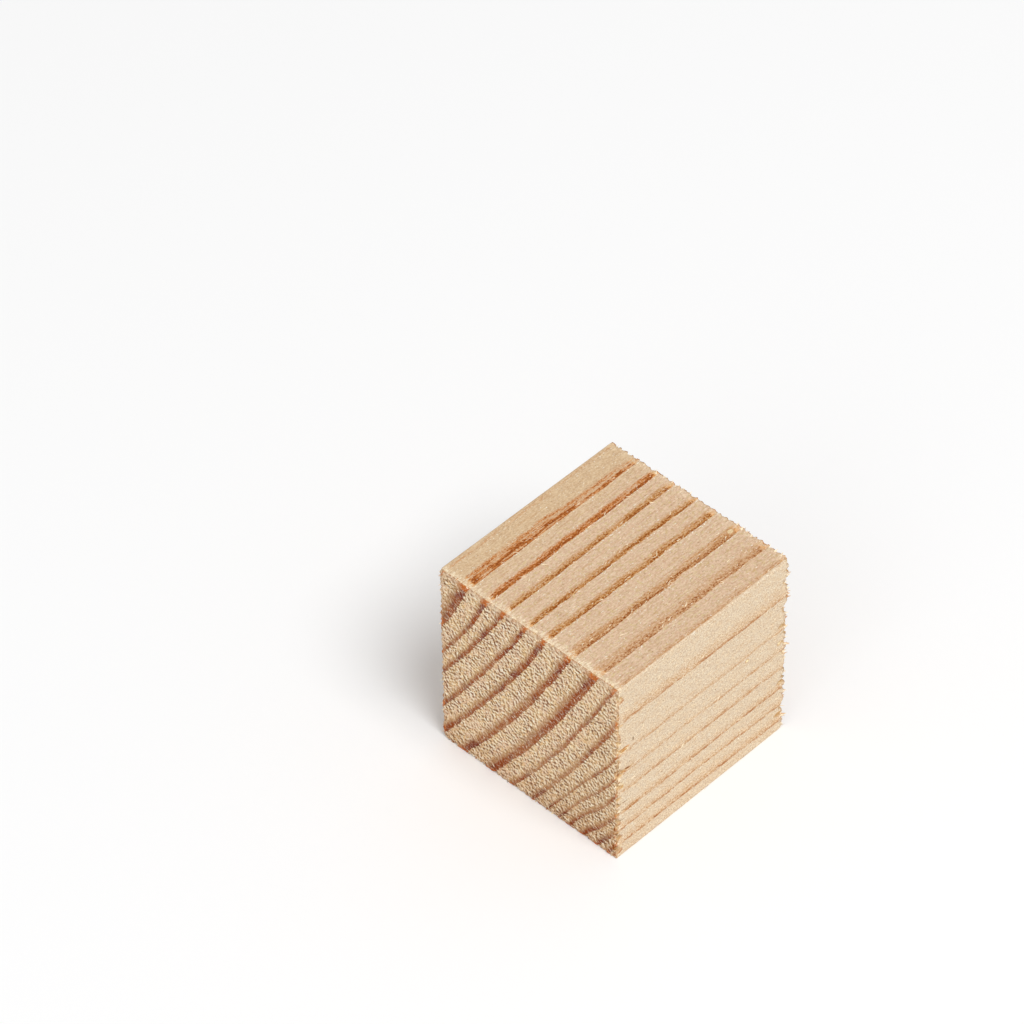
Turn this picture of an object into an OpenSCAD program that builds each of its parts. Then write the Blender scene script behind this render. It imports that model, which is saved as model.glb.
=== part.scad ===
// A cube of raw sawn pine, cut from one stick across the grain and left unfinished.
// The grain runs along X, so the faces at -X and +X are end grain and the other four are long grain.
// The block stands on its bottom face, and the origin is the centre of that face.

/* [Block] */
// Length of the block along the grain
length = 40.8; // [25:0.1:80]
// Width of the block, between its two upright long-grain faces
width = 39.6; // [25:0.1:80]
// Height of the block, from the face that it stands on to its top
height = 40; // [25:0.1:80]
// Flat that eases each of the four arrises that run with the grain
ease = 0.15; // [0.05:0.05:1]

/* [Torn arrises] */
// Spacing of the fibre bundles along an arris that was cut across the grain
bundle = 1.3; // [0.9:0.1:4]
// Deepest of these tears on the side where the saw left the block
exit_depth = 0.8; // [0.1:0.05:1.5]
// Deepest of them on the three other sides
entry_depth = 0.4; // [0.1:0.05:1.5]
// How many times its own depth a tear runs back along the grain
run_ratio = 1.9; // [1:0.1:5]
// Largest lean of a tear's floor, in degrees: one side of the notch is left steep, the other slack
lean = 24; // [0:1:35]
// Pattern of the tears: each number gives the same tears every time
pattern = 4; // [1:1:50]

/* [Scars] */
// Width of the widest scar on the side where the saw left the block
scar_width = 3.4; // [1:0.1:5]
// Depth of the deepest scar at the arris
scar_depth = 1.1; // [0.3:0.05:2]
// Run of the longest scar back along the grain
scar_run = 4.6; // [1:0.1:8]

/* [Broken corners] */
// Depth of the chip off the top corner at the far end of the saw's exit side
top_chip = 0.7; // [0.1:0.1:3]
// Depth of the chip off the bottom corner under it
foot_chip = 0.6; // [0.1:0.1:3]
// Depth of the chip off the bottom corner at the opposite end and side
back_chip = 0.5; // [0.1:0.1:3]
// Depth of the chip off the top corner over that one
crown_chip = 0.4; // [0.1:0.1:3]

/* [Hidden] */

// Faces round the grain, each a quarter turn about X from the last: top, exit side, bottom, entry side
quarter = 90;
SIDES = [0, 1, 2, 3];
EXIT_SIDE = 1;

// Scars where larger bundles and long slivers broke out of the exit side: how far down the arris,
// then the scar's width, depth and run, each as a share of the largest
NEAR_SCARS = [
    [0.055, 0.52, 0.6, 0.3], [0.372, 0.18, 0.45, 0.56], [0.497, 0.32, 0.5, 0.68], [0.566, 0.34, 0.55, 0.34],
    [0.69, 0.11, 0.35, 0.48], [0.734, 0.14, 0.5, 1], [0.79, 0.11, 0.35, 0.58], [0.89, 0.15, 0.4, 0.5]
];
FAR_SCARS = [
    [0.12, 0.76, 0.9, 0.34], [0.276, 1, 1, 0.36], [0.372, 0.18, 0.5, 0.56], [0.47, 0.18, 0.4, 0.56],
    [0.534, 0.42, 1, 0.38], [0.634, 0.26, 0.8, 0.32], [0.705, 0.26, 0.9, 0.48], [0.752, 0.46, 0.6, 0.22],
    [0.864, 0.64, 0.9, 0.36], [0.908, 0.26, 0.45, 0.54]
];

// Broken corners: the end (-1 or 1 along X), the side along Y, up or down, and the chip's depth
CHIPS = [[1, -1, 1, top_chip], [1, -1, -1, foot_chip], [-1, 1, -1, back_chip], [-1, 1, 1, crown_chip]];

// A tear's share of its bundle's width and of the deepest tear: the least it takes, and what chance adds
least_mouth = 0.6;
more_mouth = 0.35;
least_depth = 0.25;
more_depth = 0.75;
// A tear's run, as a share of the usual run: the least, and what chance adds
least_run = 0.6;
more_run = 0.9;
// A tear's lean, as a share of the largest: the least, and what chance adds
least_lean = 0.2;
more_lean = 0.8;

// Share of the way to its point at which a tear's floor reaches the face
feather = 0.8;

// Lean of a scar's floor, in degrees
scar_roll = -12;

// Overlap of each cut past the surface that it opens
over = 0.5;

// Steps of the sine that scatters the tears
scatter_gain = 4375.85;
scatter_tear = 78.233;
scatter_use = 37.719;
scatter_row = 11.371;

// A fraction from 0 to 1, spread evenly: one for each tear of a row, and for each use of it
function chance(row, tear, use) =
    let (swing = scatter_gain * sin(scatter_row * (row + pattern) + scatter_tear * tear + scatter_use * use))
    swing - floor(swing);

// From the block's middle to the face on that side, and the length of that face's cross-cut arrises
function reach(side) = (side % 2 == 0 ? height : width) / 2;
function arris(side) = side % 2 == 0 ? width : height;
function deepest(side) = side == EXIT_SIDE ? exit_depth : entry_depth;

// Section of the block across the grain, with its four eased corners
module section() {
    across = width / 2;
    up = height / 2;
    polygon([
        [across, ease - up], [across, up - ease], [across - ease, up], [ease - across, up],
        [-across, up - ease], [-across, ease - up], [ease - across, -up], [across - ease, -up]
    ]);
}

// The block as sawn, centred, with the grain along X
module blank() {
    rotate([quarter, 0, quarter])
        linear_extrude(height = length, center = true) section();
}

// What a bundle of fibres left when it broke away. It starts at the arris: X runs back along the grain,
// Z out of the face. The mouth is at the cut end, and the sides close in on each other as the floor rises.
// The floor reaches the face just before they meet, so the scar feathers out in a short blunt end.
module tear(mouth, depth, run, roll) {
    slope = atan(depth / run);
    point = run / cos(slope) / feather;
    rotate([roll, 0, 0]) translate([0, 0, -depth]) rotate([0, -slope, 0])
        linear_extrude(height = depth + over)
            polygon([[-over, -mouth / 2], [0, -mouth / 2], [point, 0], [0, mouth / 2], [-over, mouth / 2]]);
}

// One tear for each fibre bundle along an arris, clear of the corners and of each other
module tear_row(row, arris_length, depth) {
    open_length = arris_length - 4 * depth;
    tears = floor(open_length / bundle);
    pitch = open_length / tears;
    for (i = [0 : tears - 1]) {
        mouth = pitch * (least_mouth + more_mouth * chance(row, i, 1));
        deep = depth * (least_depth + more_depth * pow(chance(row, i, 2), 2));
        run = deep * run_ratio * (least_run + more_run * chance(row, i, 3));
        roll = -lean * (least_lean + more_lean * chance(row, i, 4));
        translate([0, (i + 0.5) * pitch - open_length / 2, 0]) tear(mouth, deep, run, roll);
    }
}

// The tears along all eight arrises that were cut across the grain
module torn_arrises() {
    for (end = [0, 1], side = SIDES)
        mirror([end, 0, 0]) rotate([side * quarter, 0, 0])
            translate([-length / 2, 0, reach(side)])
                tear_row(end * len(SIDES) + side, arris(side), deepest(side));
}

// Scars along the arris at the near end of the exit side
module scar_row(scars) {
    rotate([EXIT_SIDE * quarter, 0, 0])
        for (scar = scars)
            translate([-length / 2, (0.5 - scar[0]) * arris(EXIT_SIDE), reach(EXIT_SIDE)])
                tear(scar[1] * scar_width, scar[2] * scar_depth, scar[3] * scar_run, scar_roll);
}

// A flat break across one corner: it leaves the corner's three edges at three times its depth
module corner_chip(end, side, up, depth) {
    size = 6 * depth;
    translate([end * length / 2, side * width / 2, up * height / 2])
        rotate([0, 0, atan2(side, end)]) rotate([0, -atan2(up, sqrt(2)), 0])
            translate([size / 2 - depth, 0, 0]) cube(size, center = true);
}

module cube_block() {
    color("burlywood") translate([0, 0, height / 2])
        difference() {
            blank();
            torn_arrises();
            scar_row(NEAR_SCARS);
            mirror([1, 0, 0]) scar_row(FAR_SCARS);
            for (chip = CHIPS) corner_chip(chip[0], chip[1], chip[2], chip[3]);
        }
}

cube_block();  // cube
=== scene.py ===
# A cube of raw sawn pine: its growth rings, sawn faces, rough end grain and torn arrises.
import math
import random
from types import SimpleNamespace

import bmesh
import bpy
from mathutils import Matrix, Vector, noise
from mathutils.bvhtree import BVHTree


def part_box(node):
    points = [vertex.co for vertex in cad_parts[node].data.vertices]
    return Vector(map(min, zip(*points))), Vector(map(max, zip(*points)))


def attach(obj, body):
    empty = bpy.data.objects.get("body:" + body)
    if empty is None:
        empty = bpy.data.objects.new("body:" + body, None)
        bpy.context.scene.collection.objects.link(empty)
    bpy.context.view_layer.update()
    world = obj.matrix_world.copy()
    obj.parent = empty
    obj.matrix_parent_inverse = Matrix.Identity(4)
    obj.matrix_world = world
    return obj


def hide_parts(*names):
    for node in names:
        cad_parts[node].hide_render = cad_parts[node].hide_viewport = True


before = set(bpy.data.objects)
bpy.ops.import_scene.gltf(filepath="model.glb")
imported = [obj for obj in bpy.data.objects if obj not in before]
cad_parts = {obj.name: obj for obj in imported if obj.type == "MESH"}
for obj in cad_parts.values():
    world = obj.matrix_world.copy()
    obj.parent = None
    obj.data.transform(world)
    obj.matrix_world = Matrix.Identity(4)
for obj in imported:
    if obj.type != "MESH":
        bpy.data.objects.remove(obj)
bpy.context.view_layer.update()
boxLow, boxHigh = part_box("cube")
print("frame loaded")

mm = 0.001  # the frame is in metres, and the wood below is described in millimetres
blockHalf = (boxHigh - boxLow) / 2 / mm
blockCentre = (boxHigh + boxLow) / 2 / mm


def smoothStep(low, high, value):
    share = min(1.0, max(0.0, (value - low) / (high - low)))
    return share * share * (3 - 2 * share)


def mixed(a, b, share):
    return a + (b - a) * share


def linearColour(red, green, blue):
    # a colour given as on screen, from 0 to 255, as the shader wants it
    def channel(value):
        value = value / 255
        return value / 12.92 if value <= 0.04045 else ((value + 0.055) / 1.055) ** 2.4
    return (channel(red), channel(green), channel(blue), 1.0)


def lumps(point, size, seed):
    # noise from -1 to 1 whose lumps are about as large as size says, in mm along each axis
    x, y, z = (value / across for value, across in zip(point, size))
    return noise.noise(Vector((x + seed, y - seed, z + 2 * seed)))


# all lengths are in mm
ringSettings = {
    "pith": (182.5, 100.5),   # how far the pith lies past the +Y side and above the top
    "firstRing": 203.0,       # where the innermost ring starts, from the pith
    # from the pith outwards: where each ring ends, the width of its dark late wood, and how dark that is
    "rings": [
        (209.4, 0.6, 0.12), (214.35, 2.3, 0.84), (218.25, 1.25, 0.93), (221.5, 1.15, 0.74),
        (225.85, 1.15, 0.84), (229.75, 1.35, 0.70), (234.65, 1.6, 0.72), (239.85, 2.1, 0.56),
        (243.45, 1.0, 0.34), (247.4, 1.25, 0.34), (250.75, 0.7, 0.26), (253.0, 0.65, 0.28),
        (255.1, 0.8, 0.31), (257.5, 0.9, 0.38), (259.5, 0.9, 0.36), (261.4, 1.0, 0.38),
        (263.4, 0.9, 0.36), (265.4, 0.8, 0.34),
    ],
    "handOver": 0.35,         # share of a ring over which its figures take over from the last ring's
    "lateSpan": (0.4, 1.3),   # the late wood is full, and sets in, so many of its widths inside the edge
    "tilt": 0.35,             # how far the inner rings close in on the pith from the -X end to the +X end
    "tiltFrom": 215.0,        # from here outwards it fades, and the outermost rings tilt the other way
    "tiltFade": 30.0,
    "innerDrift": 1.0,        # how far the inner rings swing out from the pith below the top face
    "innerRings": (221.0, 217.0),   # which ones do, from none of it to all of it
    "innerDepth": (1.0, 11.0),      # and over which depth
    "outerDrift": 1.1,        # how far the outermost rings close in on it behind the front face
    "outerRings": (245.5, 250.5),
    "outerDepth": (1.0, 9.0),
    "waver": 0.16,            # how far a ring wanders from a true arc
    "waverSize": (24.0, 6.0, 6.0),
    "ripple": 0.07,           # small ripples on top of that
    "rippleSize": (5.0, 1.3, 1.3),
    "outward": (0.0, -0.857, -0.515),   # away from the pith, on an end face
    "around": (0.0, 0.515, -0.857),     # along the rings there
}


def pithDistance(point):
    # point is in mm from the block's centre; the pith runs along the grain, up and beyond the +Y side
    settings = ringSettings
    fromBack = blockHalf.y - point.y
    fromTop = blockHalf.z - point.z
    fromFront = 2 * blockHalf.y - fromBack
    distance = math.hypot(fromBack + settings["pith"][0], fromTop + settings["pith"][1])
    tilt = settings["tilt"] * (1 - (distance - settings["tiltFrom"]) / settings["tiltFade"])
    distance += tilt * (point.x + blockHalf.x) / (2 * blockHalf.x)
    drift = settings["innerDrift"] * smoothStep(*settings["innerRings"], distance)
    distance -= drift * smoothStep(*settings["innerDepth"], fromTop)
    drift = settings["outerDrift"] * smoothStep(*settings["outerRings"], distance)
    distance += drift * smoothStep(*settings["outerDepth"], fromFront)
    distance += settings["waver"] * lumps(point, settings["waverSize"], 3.1)
    return distance + settings["ripple"] * lumps(point, settings["rippleSize"], 8.3)


def ringAt(distance):
    # the ring's number plus the share of it that is passed, its width, its late wood's width and darkness
    start, before = ringSettings["firstRing"], None
    for number, (end, late, dark) in enumerate(ringSettings["rings"]):
        width = end - start
        if distance < end:
            break
        start, before = end, (width, late, dark)
    share = min(1.0, max(0.0, (distance - start) / width))
    handOver = ringSettings["handOver"]
    if before and share < handOver:  # while the wood is still pale
        width, late, dark = (mixed(a, b, share / handOver) for a, b in zip(before, (width, late, dark)))
    return number + share, width, late, dark


def lateness(phase, width, late):
    # 0 in the pale early wood, rising to 1 in the late wood that ends at the ring's sharp outer edge
    full, start = ringSettings["lateSpan"]
    toEdge = (1 - phase % 1.0) * width
    return 1 - smoothStep(full * late, start * late, toEdge)


# lengths are in mm, and places are from the block's centre
cubeSettings = {
    "cuts": (59, 169, 169),     # cuts across X, Y and Z; the mesh stays just under 200,000 triangles
    "gather": (0.36, 0.16, 0.16),   # how much closer the mesh lines lie at the arrises than in the middle
    "arrisReach": 3.0,          # depth of the zone that is seen fanwise from the arrises inwards
    "narrowRing": 1,            # number of the ring whose late wood narrows along the grain
    "narrowing": 0.35,          # by this share of its width
    "narrowSpan": (-2.0, 7.0),  # between these two places along X

    "lateRelief": 0.06,         # late wood stands this far above the early wood on a long-grain face
    "lateSink": 0.6,            # and the early wood lies this share of it below the sawn face
    "longSwell": 0.05,          # slow unevenness of long grain
    "longSwellSize": (14.0, 4.0, 4.0),
    "fuzz": 0.03,               # and its fine roughness
    "fuzzSize": (0.9, 0.5, 0.5),

    "endRelief": 0.12,          # the same for end grain
    "endSink": 0.7,
    "endSwell": 0.10,
    "endSwellSize": (3.0, 5.0, 5.0),
    "pits": 0.10,               # depth of the torn pits between its fibres
    "pitSize": (1.0, 0.45, 0.45),
    "widePitSize": (1.0, 0.9, 0.9),
    "widePits": 0.5,            # strength of the wide ones, as a share of the others'
    "latePits": 0.4,            # depth of those in late wood, as a share of that

    "frayExit": 0.30,           # how deep the arrises are frayed on the side where the saw left the wood
    "frayEntry": 0.16,          # and on the others
    "frayFade": (2.5, 0.5),     # the one goes over into the other this far from that side
    "frayReach": 0.8,
    "fraySize": (1.0, 0.6, 0.6),
    "wideFraySize": (1.0, 1.9, 1.9),
    "wideFray": 0.7,            # strength of the wide fraying, as a share of the other's
    "frayEven": 0.25,           # share of the depth that is there all along the arris

    # lobes of wood broken out of the exit side at its -X arris: height, half width, reach along the grain
    "lobes": [
        (17.6, 1.3, 1.5), (13.9, 0.6, 0.6), (9.0, 1.8, 0.7), (5.6, 0.4, 0.5), (3.2, 0.7, 0.8),
        (0.3, 1.6, 2.3), (-1.6, 0.7, 0.6), (-3.0, 0.9, 1.2), (-5.4, 0.6, 0.5), (-7.3, 0.5, 1.0),
        (-9.5, 0.5, 0.7), (-11.7, 0.6, 1.1), (-14.8, 1.4, 1.4), (-18.1, 1.3, 1.5),
    ],
    "lobeDepth": 0.22,
    "lobeRough": 0.6,           # how uneven that depth is
    "lobeTip": 0.45,            # how far below its middle a lobe reaches furthest, in half widths
    "lobeRagged": 0.45,         # how far the break wanders apart from them
    "lobeFrayed": 0.12,         # and how far its own edge does
    "lobeZone": 3.0,            # nothing further than this from the arris is broken
    "lobeFlat": 0.3,            # reach of the break over the end face, as a share of that along the grain
    "farReach": 0.25,           # usual reach of the break along the other upright arris, which has no lobes
    "farShift": 60.0,           # moves the noise, so that the two arrises differ

    "rimReach": (0.8, 2.6),     # width of the rim that differs on an end face: usual, and at the top
    "rimFade": 4.0,             # the one goes over into the other this far below the top
    "rimRagged": 0.4,
    "crushSpan": (0.4, 2.4),    # late wood is crushed near the cross-cut arrises, from all to nothing
    "crushRagged": 0.6,
    "burrBand": 1.0,            # the burr is full this near the top of the -X end, and weak elsewhere
    "burrElsewhere": 0.3,
    "bulge": 0.26,              # late wood pressed up at the top arris of the -X end
    "bulgeBand": 1.5,
    "bulgeReach": (0.1, 0.9),
    # small marks: place, radii along each axis, how far it rises, colour inside and round the rim
    "marks": [
        ((18.2, -8.6, 20.0), (0.58, 0.42, 0.8), 0.16, "tornPale", "outerMiddle"),
        ((19.2, -19.8, 5.3), (0.75, 0.8, 0.32), -0.14, "tornPale", "tornWood"),
        ((18.6, -19.8, 1.4), (0.45, 0.8, 0.38), -0.18, "resin", "tornWood"),
        ((19.3, -19.8, -8.3), (0.70, 0.8, 0.28), -0.12, "tornPale", "tornWood"),
        ((18.9, -19.8, -15.8), (0.80, 0.8, 0.30), -0.12, "tornWood", "tornWood"),
        ((10.6, -19.8, 3.3), (0.35, 0.8, 0.28), 0.06, "resin", "sapMiddle"),
        ((-18.9, -19.8, 4.98), (0.85, 0.8, 0.18), -0.10, "lateMiddle", "resin"),
        ((-18.95, -19.8, 5.45), (0.95, 0.8, 0.24), -0.14, "lateMiddle", "lateTip"),
        ((-16.7, -19.8, 6.2), (0.12, 0.8, 0.45), -0.08, "pit", "sapPink"),
        ((-18.6, -19.8, 0.15), (1.40, 0.8, 0.16), -0.08, "tornDeep", "tornWood"),
        ((-19.2, -19.8, -3.3), (0.30, 0.8, 0.36), -0.05, "tornWood", "tornPale"),
        ((-18.9, -19.8, -7.5), (1.10, 0.8, 0.09), -0.10, "tornDeep", "tornPale"),
        ((-18.0, -19.8, -9.25), (1.60, 0.8, 0.15), -0.14, "pit", "sapMiddle"),
        ((-19.3, -19.8, -11.6), (0.90, 0.8, 0.10), -0.12, "tornDeep", "burr"),
        ((-20.1, -19.8, -14.3), (0.30, 0.8, 0.26), -0.10, "endStain", "tornWood"),
        ((-20.4, -19.0, -17.5), (0.8, 0.26, 0.60), -0.06, "redDark", "tornWood"),
        ((-20.4, -19.2, -13.2), (0.8, 0.18, 0.45), -0.06, "redDark", "tornWood"),
    ],
}
# what each point of the mesh tells the material
attributeNames = ("rings", "ringWidth", "lateWidth", "lateDark", "endGrain", "torn", "crushed", "burr",
                  "rim")


def startBlock():
    # a cube with finer mesh lines towards its arrises
    bm = bmesh.new()
    bmesh.ops.create_cube(bm, size=2.0)
    for axis, cuts in enumerate(cubeSettings["cuts"]):
        along = [edge for edge in bm.edges if abs(edge.verts[0].co[axis] - edge.verts[1].co[axis]) > 0.01]
        bmesh.ops.subdivide_edges(bm, edges=along, cuts=cuts, use_grid_fill=True)
    for name in attributeNames:
        bm.verts.layers.float.new(name)
    for vert in bm.verts:
        vert.co = Vector(t * (1 + g) - g * t ** 3 for t, g in zip(vert.co, cubeSettings["gather"]))
    return bm


def innerPoint(point):
    # the nearest point of a smaller block inside, from which the arrises are seen fanwise
    reach = cubeSettings["arrisReach"]
    return Vector(max(reach - half, min(half - reach, value)) for value, half in zip(point, blockHalf))


def surfaceOf(piece):
    # a piece's surface in mm from the block's centre, for rays to hit
    places = [vert.co / mm - blockCentre for vert in piece.data.vertices]
    return BVHTree.FromPolygons(places, [tuple(face.vertices) for face in piece.data.polygons])


def shapeBlock(bm):
    # every point of the plain cube is carried onto the sawn and torn surface of the frame's own block
    surface = surfaceOf(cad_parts["cube"])
    layers = bm.verts.layers.float
    for vert in bm.verts:
        plain = Vector(t * half for t, half in zip(vert.co, blockHalf))
        way = (plain - innerPoint(plain)).normalized()
        hit = surface.ray_cast(plain + way * 0.5, -way)[0] or plain  # from just outside
        vert[layers["endGrain"]] = 1.0 if abs(plain.x) > blockHalf.x - 0.001 else 0.0
        vert[layers["torn"]] = (plain - hit).length
        vert.co = hit


def endRise(point, isLate):
    # end grain: proud late wood, pits where the saw tore the soft early wood, slow swells
    settings = cubeSettings
    pit = lumps(point, settings["pitSize"], 7.7)
    pit += settings["widePits"] * lumps(point, settings["widePitSize"], 2.7)
    rise = settings["endRelief"] * (isLate - settings["endSink"])
    rise -= settings["pits"] * max(0.0, pit) * (1 - (1 - settings["latePits"]) * isLate)
    return rise + settings["endSwell"] * (0.5 * lumps(point, settings["endSwellSize"], 1.3) - 0.3)


def longRise(point, isLate, dark):
    # long grain: late wood just proud, slow swells and a fine sawn roughness
    settings = cubeSettings
    rise = settings["lateRelief"] * (isLate * dark - settings["lateSink"])
    rise += settings["longSwell"] * (0.5 * lumps(point, settings["longSwellSize"], 4.4) - 0.3)
    return rise + settings["fuzz"] * (0.5 * lumps(point, settings["fuzzSize"], 5.9) - 0.4)


def fraying(point, nearArris):
    # how deep the cross-cut arrises are frayed here, most of all where the saw left the wood
    settings = cubeSettings
    fadeStart, fadeEnd = (fromSide - blockHalf.y for fromSide in settings["frayFade"])
    depth = mixed(settings["frayEntry"], settings["frayExit"], smoothStep(fadeStart, fadeEnd, point.y))
    along = Vector((point.x * 0.3, point.y, point.z))
    bundle = lumps(along, settings["fraySize"], 9.4)
    bundle += settings["wideFray"] * lumps(along, settings["wideFraySize"], 2.8)
    share = 1 - smoothStep(0.0, settings["frayReach"], nearArris)
    return depth * max(0.0, settings["frayEven"] + bundle) * share


def lobeReach(point):
    # how far along the grain the wood broke away here, beside an upright arris of the exit side
    settings = cubeSettings
    level = Vector((0.0, 0.0, point.z + settings["farShift"] * (point.x > 0)))
    reach = settings["lobeRagged"] * lumps(level, (1.0, 1.0, 0.9), 0.4)
    if point.x > 0:
        return reach + settings["farReach"]
    tip = settings["lobeTip"]
    for height, half, run in settings["lobes"]:
        below = (height - point.z) / half
        if abs(below) < 1:
            reach = max(reach, run * smoothStep(-1.0, tip, below) * (1 - smoothStep(tip, 1.0, below)))
    return reach + settings["lobeFrayed"] * lumps(point, (0.7, 0.7, 0.4), 1.7)


def lobe(point, toEnd):
    # 1 where the wood broke away, and 0 where it is sound
    fromExit = point.y + blockHalf.y
    if max(toEnd, fromExit) > cubeSettings["lobeZone"]:
        return 0.0
    reach = max(0.05, lobeReach(point))
    overEnd = fromExit / (cubeSettings["lobeFlat"] * reach)
    return 1 - smoothStep(0.60, 1.0, toEnd / reach if fromExit < toEnd else overEnd)


def addMarks(point, rise):
    # the rise with the small marks on top of it
    for mark in cubeSettings["marks"]:
        place, radii, height = mark[:3]
        offset = ((value - middle) / radius for value, middle, radius in zip(point, place, radii))
        away = math.hypot(*offset)
        rise += height * max(0.0, 1 - away * away)
    return rise


def finishBlock(bm):
    # rings, roughness, frayed arrises and marks: each point's place and what it tells the material
    settings = cubeSettings
    layers = bm.verts.layers.float
    for vert in bm.verts:
        point = vert.co.copy()
        phase, width, late, dark = ringAt(pithDistance(point))
        if int(phase) == settings["narrowRing"]:
            late *= 1 - settings["narrowing"] * smoothStep(*settings["narrowSpan"], point.x)
        isLate = lateness(phase, width, late)
        toEnd = blockHalf.x - abs(point.x)
        toSide = min(blockHalf.y - abs(point.y), blockHalf.z - abs(point.z))
        fromTop = blockHalf.z - point.z
        onEnd = toEnd < toSide
        missing = lobe(point, toEnd)

        ragged = lumps(point, (1.2, 1.2, 1.2), 6.6) + 0.6 * lumps(point, (0.5, 0.5, 0.5), 1.6)
        nearTop = smoothStep(blockHalf.z - settings["rimFade"], blockHalf.z, point.z)
        rimReach = mixed(*settings["rimReach"], nearTop)
        rim = 1 - smoothStep(0.1, rimReach, toSide + settings["rimRagged"] * ragged)
        told = {
            "rings": phase, "ringWidth": width, "lateWidth": late, "lateDark": dark,
            "endGrain": max(vert[layers["endGrain"]], missing),
            "torn": vert[layers["torn"]] + (0.0 if onEnd else settings["lobeDepth"] * missing),
            "crushed": 1 - smoothStep(*settings["crushSpan"], toEnd + settings["crushRagged"] * ragged),
            "burr": 1.0 if point.x < 0 and fromTop < settings["burrBand"] else settings["burrElsewhere"],
            "rim": rim if onEnd else max(rim, 0.5 * missing),
        }
        for name, value in told.items():
            vert[layers[name]] = value

        rise = endRise(point, isLate) if onEnd else longRise(point, isLate, dark)
        rise -= fraying(point, max(toEnd, toSide))
        uneven = 1 + settings["lobeRough"] * lumps(point, (0.9, 0.9, 0.6), 3.3)
        rise -= settings["lobeDepth"] * missing * uneven
        if point.x < 0 and fromTop < settings["bulgeBand"]:
            nearArris = 1 - smoothStep(*settings["bulgeReach"], max(toEnd, toSide))
            rise += settings["bulge"] * isLate * dark * nearArris
        rise = addMarks(point, rise)
        way = (point - innerPoint(point)).normalized()
        vert.co = point + way * rise


def makeMesh(bm, name):
    mesh = bpy.data.meshes.new(name)
    bm.to_mesh(mesh)
    bm.free()
    piece = bpy.data.objects.new(name, mesh)
    bpy.context.scene.collection.objects.link(piece)
    return piece


def toMetres(bm):
    for vert in bm.verts:
        vert.co = (vert.co + blockCentre) * mm


def buildBlock():
    bm = startBlock()
    print("block: grid made,", len(bm.faces), "faces")
    shapeBlock(bm)
    finishBlock(bm)
    bm.normal_update()
    bmesh.ops.recalc_face_normals(bm, faces=bm.faces[:])
    toMetres(bm)
    for face in bm.faces:
        face.smooth = True
    piece = makeMesh(bm, "sawnBlock")
    print("block: surface finished")
    return piece


# lengths are in mm; a pair is a least and a greatest, or where it says so a usual value and its scatter
fibreSettings = {
    "seed": 11,
    "pale": (254, 238, 206),
    "brown": (198, 144, 96),

    "barbs": 300,               # stiff splinters along the cross-cut arrises
    "barbSides": [((0, -1, 0), 9), ((0, 0, 1), 3), ((0, 1, 0), 3), ((0, 0, -1), 4)],  # faces, how often
    "barbLength": (0.35, 1.1),
    "barbWidth": (0.12, 0.30),
    "barbSpan": 0.98,           # share of an arris that has them
    "barbInset": (0.1, 0.8),    # how far in from the end face a barb is rooted
    "barbLean": (0.18, 0.22),   # how far it leans out of the face: usual, scatter
    "barbSway": (0.0, 0.16),    # and along the arris: usual, scatter
    "barbCurl": (0.15, 0.2),    # how far its tip bends out of the face, per length: usual, scatter
    "barbTwist": (0.0, 0.15),   # and along the arris: usual, scatter
    "barbThick": 0.3,           # thickness, as a share of the width
    "barbRoot": 0.04,           # how deep its root lies in the wood
    "reachOut": 0.24,           # how far past the end face the tip may stand

    "hairs": 320,               # thin pale shreds on the long-grain faces
    "hairSides": [((0, 0, 1), 4), ((0, -1, 0), 4), ((0, 1, 0), 2)],
    "hairSpan": 0.95,           # share of a face's length and width that has them
    "hairsAtRings": 0.75,       # share of them that lie just past the sharp edge of a ring
    "hairPast": 1.02,           # how far past the ring's start, in ring widths, that is
    "hairSlant": (1.0, 0.9),    # a ring's width on the upright faces, and on the flat ones, per true width
    "hairLength": (0.4, 1.2),
    "hairWidth": (0.06, 0.16),
    "hairLean": (0.05, 0.4),
    "hairSway": (0.0, 0.5),     # usual, scatter
    "hairTwist": (0.0, 0.4),    # usual, scatter
    "hairDroop": 0.1,           # how far its tip bends down to the face, per length
    "hairThick": 0.5,
    "hairBrown": 0.35,          # the brownest, where 0 is pale and 1 is brown

    "tufts": 6000,              # short stubs of torn fibre all over the end grain
    "tuftSpan": 0.985,          # share of a face's width and height that has them
    "bareFrom": 0.4,            # on late wood from this lateness on
    "bareLate": 0.8,            # this share of them is left out
    "tuftLength": (0.25, 0.75),
    "tuftWidth": (0.05, 0.11),
    "tuftLean": (0.05, 0.30),
    "tuftSway": (0.0, 0.25),    # usual, scatter
    "tuftCurl": (-0.02, 0.05),  # usual, scatter
    "tuftThick": 0.6,
    "tuftBrown": 0.3,
    "fineRoot": 0.02,           # how deep hairs and tufts are rooted
}


def fibreShape(sides, cuts):
    # one fibre from 0 to 1 along Z, tapering to a point
    bm = bmesh.new()
    bmesh.ops.create_cone(bm, cap_ends=True, segments=sides, radius1=1.0, radius2=0.12, depth=1.0)
    along = [edge for edge in bm.edges if abs(edge.verts[0].co.z - edge.verts[1].co.z) > 0.5]
    bmesh.ops.subdivide_edges(bm, edges=along, cuts=cuts, use_grid_fill=True)
    bmesh.ops.translate(bm, verts=bm.verts, vec=(0.0, 0.0, 0.5))
    mesh = bpy.data.meshes.new("fibreShape")
    bm.to_mesh(mesh)
    bm.free()
    return mesh


def between(dice, pair):
    return mixed(pair[0], pair[1], dice.random())


def pickSide(dice, sides):
    # the way out of one of the block's faces, and the way across the grain in that face
    ways, weights = zip(*sides)
    outward = Vector(dice.choices(ways, weights)[0])
    return outward, Vector((0, abs(outward.z), abs(outward.y)))


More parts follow.
